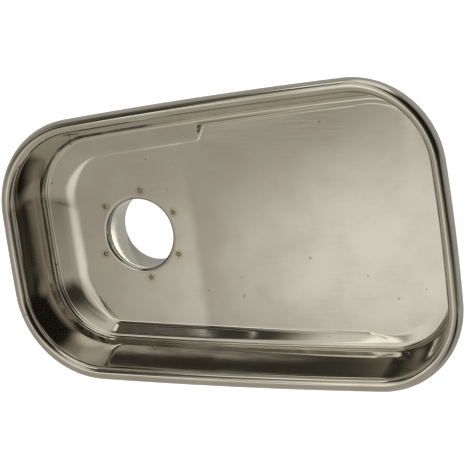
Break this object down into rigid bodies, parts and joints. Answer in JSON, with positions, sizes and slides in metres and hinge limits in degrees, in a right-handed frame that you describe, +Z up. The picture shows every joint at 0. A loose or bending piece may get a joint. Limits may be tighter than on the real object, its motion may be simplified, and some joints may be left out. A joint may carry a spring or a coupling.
{
  "type": "meat mincer feed tray",
  "caption": "Deep oblong stainless tray with a rolled rim; its floor slopes down to a round outlet neck that plugs into a mincer's throat.",
  "frame": {"origin": "on the neck's axis, level with the seat under the neck's flange, where the tray rests on the mincer's throat", "axes": "+Z up out of the tray along the neck's axis, +X towards the tray's wide end"},
  "size_m": [0.3246, 0.2086, 0.0765],
  "materials": {
    "polished_sheet": "bright drawn stainless steel",
    "neck_sheet": "polished stainless steel",
    "weld_metal": "spot weld with straw-brown heat tint"
  },
  "bodies": {
    "root": {"pan": "polished_sheet", "neck": "neck_sheet", "spot_welds": "weld_metal"}
  },
  "joints": []
}
